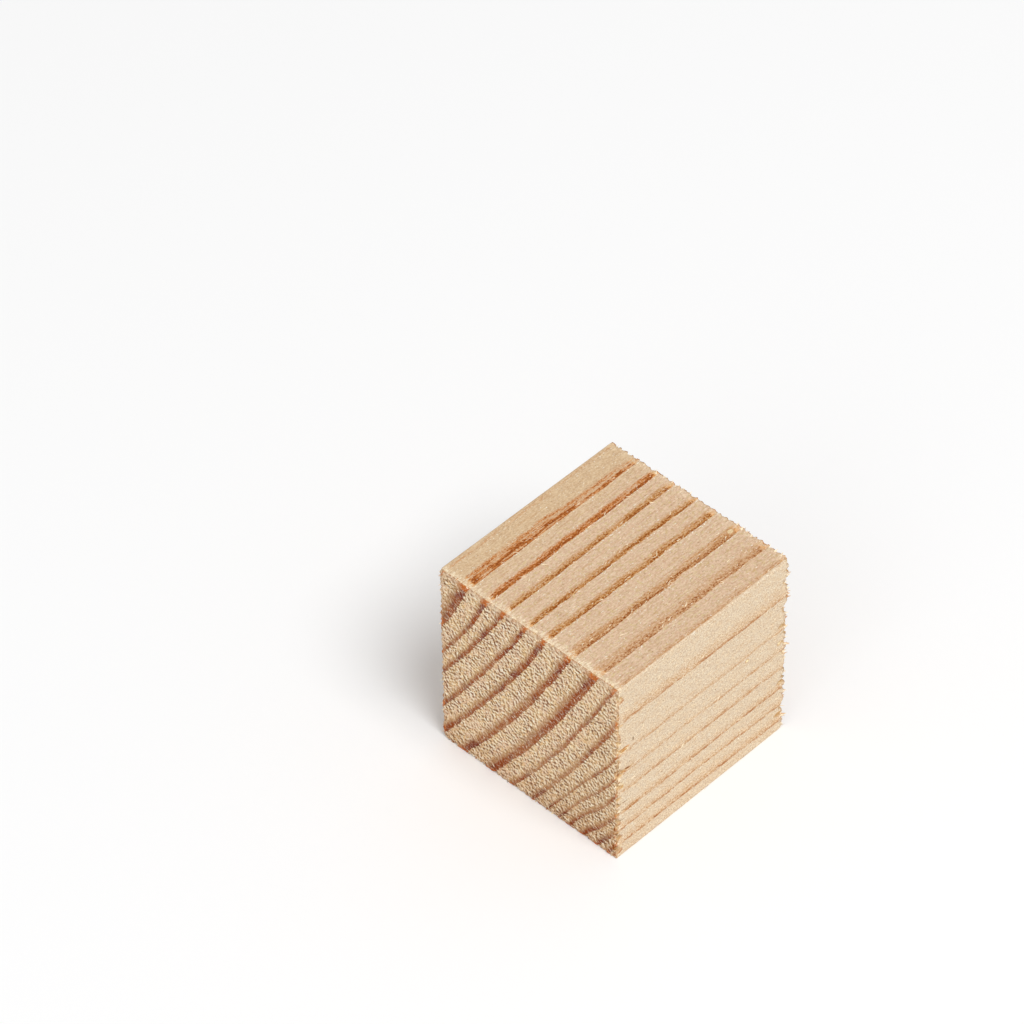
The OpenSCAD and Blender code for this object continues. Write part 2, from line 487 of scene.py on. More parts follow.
def surfaceAt(surface, point, outward):
    # the point of the finished block that lies straight under this one, and which way it faces there
    hit, normal = surface.ray_cast(point + outward * 2.0, -outward)[:2]
    return (hit, normal) if hit else (point, outward)


# each of the next three gives, for one fibre after another: root, direction, the way the wood faces there,
# length, width, thickness, how far the tip is bent away, and how brown it is from 0 to 1
def barbPlaces(surface, dice):
    settings = fibreSettings
    for _ in range(settings["barbs"]):
        outward, across = pickSide(dice, settings["barbSides"])
        end = dice.choice((-1, 1))
        inset = dice.uniform(*settings["barbInset"])
        point = Vector((end * (blockHalf.x - inset), outward.y * blockHalf.y, outward.z * blockHalf.z))
        half = blockHalf.z if outward.y else blockHalf.y
        point += across * dice.uniform(-settings["barbSpan"], settings["barbSpan"]) * half
        root, facing = surfaceAt(surface, point, outward)
        lean = dice.gauss(*settings["barbLean"])
        way = Vector((end, 0, 0)) + outward * lean + across * dice.gauss(*settings["barbSway"])
        room = inset + settings["reachOut"] * dice.random()
        length = min(between(dice, settings["barbLength"]), room)
        width = between(dice, settings["barbWidth"]) * (0.5 + 0.7 * length)
        curl = outward * dice.gauss(*settings["barbCurl"]) + across * dice.gauss(*settings["barbTwist"])
        thick = width * settings["barbThick"]
        brown = dice.random() ** 2
        yield (root - facing * settings["barbRoot"], way.normalized(), facing,
               length, width, thick, curl * length, brown)


def hairPlaces(surface, dice):
    settings = fibreSettings
    span = settings["hairSpan"]
    for _ in range(settings["hairs"]):
        outward, across = pickSide(dice, settings["hairSides"])
        point = Vector(dice.uniform(-span, span) * half for half in blockHalf)
        point = Vector(o * half if o else value for o, half, value in zip(outward, blockHalf, point))
        if dice.random() < settings["hairsAtRings"]:
            phase, width = ringAt(pithDistance(point))[:2]
            slant = settings["hairSlant"][0 if outward.y else 1]
            point -= across * (settings["hairPast"] - phase % 1.0) * width * slant
            point.y, point.z = (max(-half, min(half, value)) for value, half in zip(point.yz, blockHalf.yz))
        root, facing = surfaceAt(surface, point, outward)
        way = Vector((dice.choice((-1, 1)), 0, 0)) + across * dice.gauss(*settings["hairSway"])
        way += outward * dice.uniform(*settings["hairLean"])
        length = between(dice, settings["hairLength"])
        width = between(dice, settings["hairWidth"])
        curl = across * dice.gauss(*settings["hairTwist"]) - outward * settings["hairDroop"]
        thick = width * settings["hairThick"]
        brown = settings["hairBrown"] * dice.random()
        yield (root - facing * settings["fineRoot"], way.normalized(), facing,
               length, width, thick, curl * length, brown)


def tuftPlaces(surface, dice):
    settings = fibreSettings
    span = settings["tuftSpan"]
    ringsOut, ringsAround = Vector(ringSettings["outward"]), Vector(ringSettings["around"])
    for _ in range(settings["tufts"]):
        outward = Vector((dice.choice((-1, 1)), 0, 0))
        point = Vector(dice.uniform(-span, span) * half for half in blockHalf)
        point.x = outward.x * blockHalf.x
        phase, width, late, _ = ringAt(pithDistance(point))
        isLate = lateness(phase, width, late) > settings["bareFrom"]
        if isLate and dice.random() < settings["bareLate"]:
            continue
        root, facing = surfaceAt(surface, point, outward)
        way = ringsOut * dice.choice((-1, 1)) + ringsAround * dice.gauss(*settings["tuftSway"])
        way += outward * dice.uniform(*settings["tuftLean"])
        length = between(dice, settings["tuftLength"])
        width = between(dice, settings["tuftWidth"])
        curl = outward * dice.gauss(*settings["tuftCurl"]) * length
        thick = width * settings["tuftThick"]
        brown = settings["tuftBrown"] * dice.random()
        yield (root - facing * settings["fineRoot"], way.normalized(), facing,
               length, width, thick, curl, brown)


def addFibres(bm, shape, places):
    # copies of one shape, each then bent and carried to its place; their faces go on facing outward
    tone = bm.verts.layers.float["tone"]
    first = len(bm.verts)
    each = len(shape.vertices)
    for _ in places:
        bm.from_mesh(shape)
    bm.verts.ensure_lookup_table()
    for number, (root, way, facing, length, width, thick, curl, brown) in enumerate(places):
        side = facing.cross(way).normalized()
        up = way.cross(side)
        start = first + number * each
        for vert in bm.verts[start:start + each]:
            x, y, z = vert.co
            vert.co = root + side * width * x + up * thick * y + way * length * z + curl * z * z
            vert.co.z = max(vert.co.z, -blockHalf.z)  # nothing stands below the face it rests on
            vert[tone] = brown


def buildFibres(block):
    dice = random.Random(fibreSettings["seed"])
    surface = surfaceOf(block)
    bm = bmesh.new()
    bm.verts.layers.float.new("tone")
    addFibres(bm, fibreShape(sides=4, cuts=3), list(barbPlaces(surface, dice)))
    addFibres(bm, fibreShape(sides=3, cuts=4), list(hairPlaces(surface, dice)))
    addFibres(bm, fibreShape(sides=3, cuts=1), list(tuftPlaces(surface, dice)))
    toMetres(bm)
    piece = makeMesh(bm, "looseFibres")
    print("fibres laid,", len(piece.data.polygons), "faces")
    return piece


pineColours = {
    "earlyHeart": (212, 184, 152),   # early wood of the inner rings, on the long-grain faces
    "earlyPink": (217, 185, 156),    # the tints that it wavers between
    "earlyStraw": (208, 181, 136),
    "earlyInner": (211, 182, 146),   # and its colour near the pith
    "earlySap": (223, 203, 176),     # early wood of the outer rings
    "sapPink": (224, 200, 168),
    "lateMiddle": (192, 136, 78),    # late wood, and the darkest of it
    "lateDark": (142, 74, 18),
    "redMiddle": (195, 123, 62),     # of the innermost rings
    "redDark": (148, 78, 28),
    "outerMiddle": (196, 148, 104),  # and of the outermost heart rings
    "sapMiddle": (208, 158, 104),    # late wood of the outer rings
    "sapLine": (172, 108, 58),       # the fine dark line along its sharp edge
    "lateTip": (226, 164, 98),       # late wood fading out at the cross-cut arrises
    "burr": (238, 218, 186),         # the pale burr on those arrises: crushed fibre, with a painted highlight
    # pale crumbs, and the painted highlight beside the sharp edges of the rings
    "speck": (255, 246, 228),
    "endEarly": (235, 197, 146),     # early wood on end grain
    "endPink": (233, 194, 156),      # its slow tint
    "endOuter": (224, 186, 140),     # and the same in the outer rings
    "endInner": (190, 150, 96),      # smooth tan wood on the inner side of each late band
    "endLate": (152, 74, 26),
    "endStain": (132, 62, 38),
    "endLight": (255, 245, 222),     # painted highlight of the torn fibre ends, and pale torn fibre caught on late wood
    # painted shadow of the torn fibre ends, with their own dark colour
    "endDark": (104, 50, 16),
    "rimEarly": (224, 194, 160),     # end grain beside the arrises
    "rimLate": (196, 106, 40),
    "resin": (246, 226, 180),        # small marks
    # painted shade inside pits
    "pit": (120, 82, 50),
    "tornPale": (228, 202, 158),     # floors of the tears, from shallow to deep, the deepest darkened by painted shade
    "tornWood": (204, 160, 106),
    "tornDeep": (134, 80, 42),
    "breakLine": (176, 112, 60),     # round the lobes: the torn edge's brown, with painted shadow along the break
}

# the noises: how many lumps lie in each mm along the grain, across it and up, how many finer layers are on
# top, how rough those are, and a shift that sets each noise apart from the others
pineNoises = {
    "unevenEdge": ((1.0, 3.0, 3.0), 3.0, 0.65, 0.0),   # on every face: ragged edges of the rings
    "sway": ((0.20, 0.7, 0.7), 1.0, 0.5, 9.0),         # and how these wander
    "tornTint": ((0.8, 2.4, 2.4), 2.0, 0.6, 21.0),
    "streaks": ((0.16, 4.0, 4.0), 4.0, 0.65, 0.0),     # long grain: fine streaks
    "splits": ((0.22, 1.6, 1.6), 2.0, 0.5, 5.0),       # wider ones
    "slivers": ((0.20, 2.1, 2.1), 2.0, 0.55, 13.0),
    "dashes": ((0.9, 2.6, 2.6), 2.0, 0.6, 27.0),       # short ones, in the late wood of the outer rings
    "fibres": ((0.45, 3.4, 3.4), 2.0, 0.6, 7.0),
    "sand": ((2.0, 3.0, 3.0), 3.0, 0.72, 3.0),         # the sandy look of a sawn face
    "sapSand": ((3.0, 3.6, 3.9), 2.0, 0.70, 23.0),     # in the outer rings, turned with the saw's marks
    "sawn": ((1.15, 1.0, 1.0), 1.0, 0.5, 41.0),        # those marks
    "tint": ((1.3, 2.0, 2.0), 2.0, 0.6, 11.0),
    "crumbs": ((2.6, 5.0, 5.0), 1.0, 0.5, 17.0),
    "feather": ((0.6, 2.2, 2.2), 3.0, 0.6, 2.0),       # reach of the burr on the cross-cut arrises
    "shredsAndShadow": ((0.7, 1.0, 1.7), 2.0, 0.6, 29.0),
    "strokes": ((0.8, 1.8, 2.0), 1.0, 0.6, 1.0),       # end grain: along it, from ring to ring, and around
    "threads": ((3.0, 4.0, 11.0), 2.0, 0.6, 37.0),
    "grit": ((1.0, 3.0, 3.0), 2.0, 0.6, 6.0),
    "patches": ((0.3, 0.34, 0.26), 2.0, 0.5, 4.0),
    "runs": ((0.3, 1.2, 0.30), 2.0, 0.6, 14.0),        # stronger and weaker stretches of late wood
    "endTint": ((0.3, 0.5, 0.4), 2.0, 0.6, 31.0),
    "scorch": ((0.5, 1.0, 0.6), 2.0, 0.6, 19.0),
    "flecks": ((2.0, 2.8, 3.2), 1.0, 0.5, 43.0),
    "fibreTone": ((3.0, 3.0, 3.0), 2.0, 0.5, 0.0),     # loose fibres
}

# A swing is how far a noise lightens and darkens the wood, as a share, and shown is how strongly a mark
# shows. Where a swing or shown is a pair, it is for the heart and for the outer rings. Spans are places in
# mm from the block's middle, from none of an effect to all of it.
pineSettings = {
    "sapFrom": 9.0,                     # number of the first of the outer rings
    "innerTo": 3.0,                     # the three innermost rings are redder
    "innermostTo": 2.0,
    "partedSpan": (1.0, 8.0),           # along X, where the innermost late wood parts in two
    "farSpans": ((19.3, 20.1), (-18.8, -19.4)),   # along X and Y, for the brown shreds and painted shadow at the far arris
    "midwaySpans": ((-5.5, -1.5), (-18.0, -13.0)),   # around the rings and up, for weaker late wood
    "footSpan": (-13.0, -18.0),
    "backSpan": (14.0, 19.0),
    "cornerSpan": (2.0, 20.0),
    "scorchSpan": (2.0, -10.0),
    "sawAlong": (0.824, 0.0, -0.566),   # the faint marks that the saw left on long grain run this way
    "sawAcross": (0.566, 0.0, 0.824),
    "sandSwing": (0.31, 0.44),
    "fibreSwing": (0.12, 0.07),
    "sawnSwing": 0.05,
    "crumbsAndHighlightShown": (0.75, 0.50),
    "pitShadeShown": 0.5,
    "shredsAndShadowShown": 0.7,
    "tanShown": 0.55,                   # tan wood beside the late wood on end grain
    "strokeShift": (0.0, 0.0, 0.45),    # from each stroke's painted shadow to its painted highlight, mm
    "strokeRagged": 0.07,
    # how strongly the strokes' painted shadow and painted highlight show
    "strokeShadow": 0.82,
    "strokeHighlight": 0.84,
    "flecksShown": 0.6,                 # torn fibre caught on late wood
    "gritSwing": 0.34,
    "cornerPaintedShade": -0.14,               # painted shade: how much darker an end face is at its outer lower corner
    "footPaintedShade": -0.09,                 # and at its foot
    "backShade": -0.06,                 # how much darker it is at its +Y side
    "borderShown": 3.6,
    "floorsShown": 0.8,                 # bare wood on the floors of the tears
    "warmth": (0.68, 1.0, 1.2),         # how much of a shade reaches red, green and blue: darker is warmer
    "roughness": 0.75,
    "specular": 0.12,
    "bumpHeight": 0.07,                 # mm
    "fibreRoughness": 0.8,
    "fibreSpecular": 0.2,
}


def addNode(tree, kind, inputs=(), **settings):
    node = tree.nodes.new(kind)
    for name, value in settings.items():
        setattr(node, name, value)
    for socket, value in dict(inputs).items():
        if isinstance(value, bpy.types.NodeSocket):
            tree.links.new(value, node.inputs[socket])
        else:
            node.inputs[socket].default_value = value
    return node


class Maker:
    # short names for the steps that a material is put together from

    def __init__(self, tree):
        self.tree = tree

    def math(self, operation, a, b=0.0):
        return addNode(self.tree, "ShaderNodeMath", {0: a, 1: b}, operation=operation).outputs[0]

    def times(self, *values):
        result = values[0]
        for value in values[1:]:
            result = self.math("MULTIPLY", result, value)
        return result

    def plus(self, *values):
        result = values[0]
        for value in values[1:]:
            result = self.math("ADD", result, value)
        return result

    def minus(self, a, b):
        return self.math("SUBTRACT", a, b)

    def ramp(self, value, fromLow, fromHigh, toLow=0.0, toHigh=1.0, smooth=True):
        inputs = {0: value, 1: fromLow, 2: fromHigh, 3: toLow, 4: toHigh}
        way = "SMOOTHSTEP" if smooth else "LINEAR"
        return addNode(self.tree, "ShaderNodeMapRange", inputs, interpolation_type=way).outputs[0]

    def fade(self, share, none, full):
        # one value where the share is 0, and another where it is 1
        return self.ramp(share, 0.0, 1.0, none, full)

    def swing(self, value, most, low=0.25, high=0.75):
        # a noise's usual span, spread evenly from minus the most to plus it
        return self.ramp(value, low, high, -most, most, smooth=False)

    def colour(self, share, a, b, kind="MIX"):
        inputs = {0: share, 6: a, 7: b}
        return addNode(self.tree, "ShaderNodeMix", inputs, data_type="RGBA", blend_type=kind).outputs[2]

    def oneOf(self, share, a, b):
        return addNode(self.tree, "ShaderNodeMix", {0: share, 2: a, 3: b}).outputs[0]

    def vector(self, operation, *values):
        node = addNode(self.tree, "ShaderNodeVectorMath", dict(enumerate(values)), operation=operation)
        return node.outputs["Value" if operation in ("DOT_PRODUCT", "LENGTH") else "Vector"]

    def place(self):
        # in mm from the block's middle, as the rings are
        coordinates = addNode(self.tree, "ShaderNodeTexCoord").outputs["Object"]
        return self.vector("MULTIPLY_ADD", coordinates, (1 / mm,) * 3, -blockCentre)

    def along(self, place, way):
        return self.vector("DOT_PRODUCT", place, way)

    def joined(self, **parts):
        return addNode(self.tree, "ShaderNodeCombineXYZ", parts).outputs[0]

    def spot(self, place, middle, radii):
        # 0 in the middle of an oval spot, 1 at its rim
        away = self.vector("SUBTRACT", place, middle)
        return self.vector("LENGTH", self.vector("DIVIDE", away, radii))

    def attribute(self, name):
        return addNode(self.tree, "ShaderNodeAttribute", attribute_name=name).outputs["Fac"]

    def grain(self, place, name):
        scale, detail, rough, shift = pineNoises[name]
        where = self.vector("MULTIPLY_ADD", place, scale, (shift, shift, shift))
        inputs = {"Vector": where, "Scale": 1.0, "Detail": detail, "Roughness": rough}
        return addNode(self.tree, "ShaderNodeTexNoise", inputs).outputs["Fac"]

    def grains(self, place, *names):
        return SimpleNamespace(**{name: self.grain(place, name) for name in names})


def woodAt(make, place):
    # what the wood is at each spot: the mesh's attributes, and masks worked out from them
    wood = SimpleNamespace(**{name: make.attribute(name) for name in attributeNames})
    ways = ((1.0, 0.0, 0.0), (0.0, 1.0, 0.0), (0.0, 0.0, 1.0))
    wood.along, wood.back, wood.up = (make.along(place, way) for way in ways)
    wood.toEnd = make.minus(blockHalf.x, make.math("ABSOLUTE", wood.along))
    ring = pineSettings["sapFrom"]
    wood.sap = make.ramp(wood.rings, ring - 0.1, ring + 0.1)  # 1 in the outer rings, 0 in the heart
    ring = pineSettings["innerTo"]
    wood.inner = make.ramp(wood.rings, ring + 0.02, ring - 0.02)
    ring = pineSettings["innermostTo"]
    wood.innermost = make.ramp(wood.rings, ring + 0.02, ring - 0.02)

    # how far each spot is from the sharp outer edge of its ring, in mm
    wood.unevenEdge = make.grain(place, "unevenEdge")
    passed = make.math("FRACT", wood.rings)
    wood.past = make.times(passed, wood.ringWidth)
    toEdge = make.times(make.minus(1.0, passed), wood.ringWidth)
    toEdge = make.plus(toEdge, make.swing(wood.unevenEdge, 0.16))
    sway = make.times(make.swing(make.grain(place, "sway"), 0.22), make.fade(wood.sap, 1.0, 0.4))
    wood.toEdge = make.plus(toEdge, sway)

    # the late wood: softly, on long grain, with the tan wood beside it, and how near its dark outer side
    share = make.math("DIVIDE", wood.toEdge, wood.lateWidth)
    beyond = make.minus(wood.toEdge, wood.lateWidth)
    wood.inLate = make.times(make.ramp(share, 1.30, 0.50), make.ramp(wood.toEdge, -0.02, 0.06))
    wood.inBand = make.times(make.ramp(beyond, 0.25, -0.35), make.ramp(wood.toEdge, -0.05, 0.10))
    wood.inWide = make.times(make.ramp(beyond, 0.45, -0.45), make.ramp(wood.toEdge, -0.04, 0.10))
    wood.core = make.ramp(share, 0.85, 0.15)
    return wood


def longEarly(make, wood, grain, tints):
    # pale early wood, pinker here and yellower there
    early = make.colour(make.ramp(grain.tint, 0.40, 0.62), tints.earlyHeart, tints.earlyPink)
    early = make.colour(make.ramp(grain.tint, 0.46, 0.30), early, tints.earlyStraw)
    early = make.colour(make.ramp(wood.rings, 3.0, 1.5), early, tints.earlyInner)
    sap = make.colour(make.ramp(grain.tint, 0.40, 0.66), tints.earlySap, tints.sapPink)
    early = make.colour(wood.sap, early, sap)
    return make.colour(make.ramp(grain.streaks, 0.48, 0.72, 0.0, 0.30), early, tints.lateMiddle)


def longLateness(make, place, wood, grain):
    # how strong the late wood is on long grain, drawn out in streaks, or in dashes in the outer rings
    late = make.times(wood.inBand, make.fade(wood.core, 0.50, 1.10))
    drawn = make.ramp(grain.streaks, 0.30, 0.64, 0.75, 1.20)
    drawn = make.times(drawn, make.ramp(grain.splits, 0.34, 0.54, 0.70, 1.08))
    dashed = make.ramp(grain.dashes, 0.36, 0.62, 0.70, 1.15)
    late = make.times(late, make.colour(wood.sap, drawn, dashed))

    slivers = make.grain(place, "slivers")  # the hardest rings tore into slivers
    whole = (1.0, 1.0, 1.0, 1.0)
    slivered = make.colour(wood.inner, whole, make.ramp(slivers, 0.37, 0.52, 0.70, 1.15))
    slivered = make.colour(wood.innermost, slivered, make.ramp(slivers, 0.41, 0.55, 0.35, 1.25))
    late = make.times(late, slivered)
    sanded = make.ramp(grain.sand, 0.30, 0.70, 1.45, 0.55)
    late = make.times(late, sanded, make.ramp(grain.crumbs, 0.30, 0.70, 1.35, 0.65), wood.lateDark)

    # the innermost late wood parts in two towards the +X end
    fromMiddle = make.math("ABSOLUTE", make.minus(wood.toEdge, make.times(wood.lateWidth, 0.55)))
    parting = make.times(make.ramp(fromMiddle, 0.26, 0.10), wood.innermost,
                         make.ramp(wood.along, *pineSettings["partedSpan"]))
    late = make.times(late, make.fade(parting, 1.0, 0.3))

    # a crack here and there along the sharp edge
    crack = make.times(make.ramp(wood.toEdge, 0.24, 0.08), make.ramp(wood.toEdge, -0.08, 0.02),
                       make.ramp(grain.splits, 0.44, 0.58))
    late = make.plus(late, make.times(crack, make.ramp(wood.lateDark, 0.25, 0.9, 0.20, 0.34)))
    return make.times(late, make.ramp(wood.crushed, 0.2, 1.0, 1.0, 0.35), make.fade(wood.sap, 1.0, 0.80))


def longLate(make, wood, grain, tints, late, result):
    # the late wood's colour, from its soft inner side to its darkest, and the fine line along its edge
    middle = make.colour(wood.inner, tints.lateMiddle, tints.redMiddle)
    middle = make.colour(make.ramp(wood.rings, 6.5, 7.2), middle, tints.outerMiddle)
    middle = make.colour(wood.sap, middle, tints.sapMiddle)
    middle = make.colour(make.ramp(wood.crushed, 0.1, 0.8), middle, tints.lateTip)
    result = make.colour(make.ramp(late, 0.0, 0.62, smooth=False), result, middle)
    darkest = make.colour(wood.inner, tints.lateDark, tints.redDark)
    result = make.colour(make.ramp(late, 0.55, 1.15, smooth=False), result, darkest)

    fromLine = make.math("ABSOLUTE", make.plus(wood.toEdge, -0.14))
    line = make.times(make.ramp(fromLine, 0.19, 0.05), make.ramp(grain.dashes, 0.42, 0.53))
    crisp = make.ramp(wood.lateDark, 0.26, 0.37, 0.5, 1.15)
    line = make.times(line, wood.sap, make.ramp(grain.splits, 0.36, 0.56, 0.42, 0.68), crisp)
    return make.colour(line, result, tints.sapLine)


def longArris(make, place, wood, grain, tints, result):
    # a pale feathered burr where the saw came in, and between the far arris's teeth brown shreds and
    # painted shadow
    reach = make.ramp(make.grain(place, "feather"), 0.34, 0.66, 0.45, 2.3, smooth=False)
    burr = make.times(make.ramp(make.math("DIVIDE", wood.toEnd, reach), 1.0, 0.55), wood.burr)
    burr = make.times(burr, make.ramp(grain.sand, 0.35, 0.6, 0.3, 0.75))
    # its paleness is crushed fibre and a painted highlight along the arris
    result = make.colour(burr, result, tints.burr)
    farSpans = pineSettings["farSpans"]
    far = make.times(make.ramp(wood.along, *farSpans[0]), make.ramp(wood.back, *farSpans[1]))
    shredsAndShadow = make.ramp(make.grain(place, "shredsAndShadow"), 0.50, 0.56)
    return make.colour(make.times(far, shredsAndShadow, pineSettings["shredsAndShadowShown"]), result, tints.tornDeep)


def longGrain(make, place, wood, tints):
    # a long-grain face: its colour, how light each spot is, and its bumps
    settings = pineSettings
    grain = make.grains(place, "streaks", "splits", "dashes", "fibres", "tint", "crumbs")
    across = make.along(place, settings["sawAcross"])
    slanted = make.joined(X=make.along(place, settings["sawAlong"]), Y=wood.back, Z=across)
    grain.sand = make.colour(wood.sap, make.grain(place, "sand"), make.grain(slanted, "sapSand"))

    result = longEarly(make, wood, grain, tints)
    late = longLateness(make, place, wood, grain)
    result = longLate(make, wood, grain, tints, late, result)
    result = longArris(make, place, wood, grain, tints, result)

    # pale crumbs, most beside the sharp edges of the rings as a painted highlight, and small pits of
    # painted shade
    beside = make.times(make.ramp(wood.past, 0.45, 0.10), make.ramp(wood.lateDark, 0.2, 0.8, 0.5, 1.0))
    crumbAndHighlight = make.ramp(make.plus(grain.crumbs, make.times(beside, 0.09)), 0.68, 0.73)
    shown = make.fade(wood.sap, *settings["crumbsAndHighlightShown"])
    result = make.colour(make.times(crumbAndHighlight, shown), result, tints.speck)
    shown = make.times(make.ramp(grain.crumbs, 0.31, 0.26), settings["pitShadeShown"])
    result = make.colour(shown, result, tints.pit)

    sandSwing = make.ramp(wood.sap, 0.0, 1.0, *settings["sandSwing"], smooth=False)
    fibreSwing = make.fade(wood.sap, *settings["fibreSwing"])
    sawn = make.grain(make.joined(X=across), "sawn")
    light = make.times(make.swing(grain.sand, 1.0), sandSwing)
    light = make.plus(light, make.swing(sawn, settings["sawnSwing"]))
    light = make.plus(light, make.times(make.swing(grain.fibres, 1.0), fibreSwing))
    height = make.plus(make.times(grain.sand, 0.8), make.times(grain.fibres, 0.4),
                       make.times(grain.streaks, 0.3), make.times(crumbAndHighlight, 0.5))
    return result, light, height


def tornEnds(make, turned, wood, grain):
    # dark and light strokes: torn fibre ends, painted with a shadow on one side, a highlight on the other
    settings = pineSettings
    beside = make.vector("ADD", turned, settings["strokeShift"])
    strokes = make.minus(make.grain(turned, "strokes"), make.grain(beside, "strokes"))
    ragged = make.swing(grain.threads, settings["strokeRagged"], 0.2, 0.8)
    strokes = make.plus(strokes, ragged)
    strength = make.times(make.ramp(wood.inWide, 0.0, 0.8, 1.0, 0.50),
                          make.ramp(grain.patches, 0.34, 0.62, 0.65, 1.0),
                          make.ramp(wood.rim, 0.3, 1.0, 1.0, 0.4))
    dark = make.times(make.ramp(strokes, -0.04, -0.14), strength, settings["strokeShadow"])
    light = make.times(make.ramp(strokes, 0.03, 0.13), strength, settings["strokeHighlight"])
    return dark, light


def endEarly(make, wood, grain, tints, depth):
    # early wood on end grain, with the tan wood that leads over to the late wood
    early = make.colour(make.ramp(grain.endTint, 0.42, 0.60), tints.endEarly, tints.endPink)
    early = make.colour(make.ramp(wood.rings, 8.6, 10.5), early, tints.endOuter)
    early = make.colour(wood.rim, early, tints.rimEarly)
    shown = make.times(wood.inWide, pineSettings["tanShown"], depth)
    return make.colour(shown, early, tints.endInner)


def endLateness(make, wood, grain, around, foot, depth):
    # how strong the late wood is on end grain: weaker below the middle of the face, strongest at its foot
    spans = pineSettings["midwaySpans"]
    midway = make.times(make.ramp(around, *spans[0]), make.ramp(wood.up, *spans[1]))
    late = make.times(wood.inLate, make.ramp(wood.core, 0.0, 0.7, 0.62, 1.0), depth,
                      make.ramp(grain.runs, 0.34, 0.56, 0.78, 1.10))
    # stronger at the foot, where it partly paints shade
    return make.times(late, make.fade(midway, 1.08, 0.84), make.fade(foot, 1.0, 1.2))


def endGrain(make, place, wood, tints):
    # an end face: its colour, how light each spot is, and its bumps
    settings = pineSettings
    outward = make.along(place, ringSettings["outward"])
    around = make.along(place, ringSettings["around"])
    turned = make.joined(X=wood.along, Y=outward, Z=around)
    grain = make.grains(turned, "threads", "patches", "runs", "grit", "endTint", "scorch", "flecks")
    dark, light = tornEnds(make, turned, wood, grain)
    foot = make.ramp(wood.up, *settings["footSpan"])
    depth = make.ramp(wood.lateDark, 0.2, 0.6, 0.66, 1.0)

    result = endEarly(make, wood, grain, tints, depth)
    late = endLateness(make, wood, grain, around, foot, depth)
    lateColour = make.colour(make.ramp(grain.patches, 0.50, 0.62), tints.endLate, tints.endStain)
    lateColour = make.colour(make.ramp(wood.rim, 0.1, 0.55), lateColour, tints.rimLate)
    result = make.colour(late, result, lateColour)

    # torn wood shows orange-brown beside the arrises
    scorched = make.times(make.ramp(grain.scorch, 0.52, 0.58), wood.rim, make.ramp(wood.torn, 0.15, 0.02))
    scorched = make.times(scorched, make.ramp(wood.up, *settings["scorchSpan"], 0.35, 0.75))
    result = make.colour(scorched, result, tints.rimLate)

    # the strokes, weaker on late wood, where torn fibre is caught instead
    dark = make.times(dark, make.ramp(late, 0.0, 0.8, 1.0, 0.3))
    light = make.times(light, make.ramp(late, 0.0, 0.8, 1.0, 0.45))
    # the strokes' painted shadow and painted highlight
    result = make.colour(dark, result, tints.endDark)
    result = make.colour(light, result, tints.endLight)
    flecks = make.times(make.ramp(grain.flecks, 0.66, 0.72), make.ramp(late, 0.2, 0.7))
    result = make.colour(make.times(flecks, settings["flecksShown"]), result, tints.endLight)

    # gritty, with painted shade towards the outer lower corner and the foot, and darker at the +Y side
    corner = make.plus(make.times(outward, 0.5), make.times(around, 0.5))
    shade = make.plus(make.swing(grain.grit, settings["gritSwing"]),
                      make.ramp(corner, *settings["cornerSpan"], 0.0, settings["cornerPaintedShade"]),
                      make.ramp(grain.patches, 0.3, 0.7, 0.05, -0.05),
                      make.times(foot, settings["footPaintedShade"]),
                      make.ramp(wood.back, *settings["backSpan"], 0.0, settings["backShade"]))
    height = make.plus(make.times(light, 1.2), make.times(dark, -0.8), make.times(grain.grit, 0.6),
                       make.times(late, 0.5))
    return result, shade, height


def markColours(make, place, wood, tints, result):
    # the small marks of the block, each with its rim
    for middle, radii, _, inside, around in cubeSettings["marks"]:
        away = make.plus(make.spot(place, middle, radii), make.swing(wood.unevenEdge, 0.25))
        result = make.colour(make.ramp(away, 1.7, 1.2, 0.0, 0.7), result, getattr(tints, around))
        result = make.colour(make.ramp(away, 1.1, 0.8), result, getattr(tints, inside))
    return result


def tornFloors(make, place, wood, tints, result):
    # bare wood on the floors of the tears
    floor = make.ramp(make.grain(place, "tornTint"), 0.40, 0.58)
    floor = make.colour(floor, tints.tornPale, tints.tornWood)
    # darker the deeper the tear: painted shade
    floor = make.colour(make.ramp(wood.torn, 0.45, 0.95), floor, tints.tornDeep)
    shown = make.times(make.ramp(wood.torn, 0.06, 0.30), pineSettings["floorsShown"])
    return make.colour(shown, result, floor)


def newMaterial(name, roughness, specular):
    material = bpy.data.materials.new(name)
    material.use_nodes = True
    shader = material.node_tree.nodes["Principled BSDF"]
    shader.inputs["Roughness"].default_value = roughness
    shader.inputs["Specular IOR Level"].default_value = specular
    return material, shader


